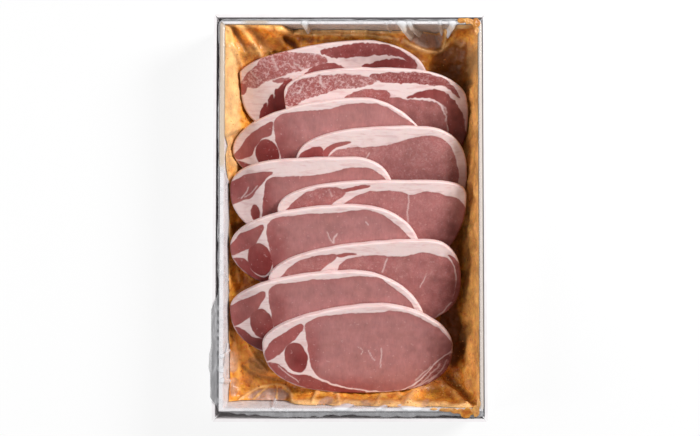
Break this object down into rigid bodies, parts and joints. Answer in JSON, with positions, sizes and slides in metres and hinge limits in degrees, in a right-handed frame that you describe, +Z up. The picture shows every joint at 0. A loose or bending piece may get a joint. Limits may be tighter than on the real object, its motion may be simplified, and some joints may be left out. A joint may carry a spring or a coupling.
{
  "type": "meat tray pack",
  "caption": "Open oblong carton tray lined with clear film, holding fanned raw pork loin slices laid on a bed of brown marinade paste.",
  "frame": {"origin": "middle of the carton's underside, to within a millimetre, on the surface that it rests on", "axes": "+X across the tray to the right, +Y along it from the front slice to the back one, +Z up"},
  "size_m": [0.2169, 0.3166, 0.0533],
  "materials": {
    "carton": "white coated board, satin",
    "film": "clear thin film, glossy",
    "paste": null,
    "pork": null
  },
  "bodies": {
    "root": {"carton_tray": "carton", "film_liner": "film", "marinade_paste": "paste", "pork_slice_01": "pork", "pork_slice_02": "pork", "pork_slice_03": "pork", "pork_slice_04": "pork", "pork_slice_05": "pork", "pork_slice_06": "pork", "pork_slice_07": "pork", "pork_slice_08": "pork", "pork_slice_09": "pork", "pork_slice_10": "pork"}
  },
  "joints": []
}
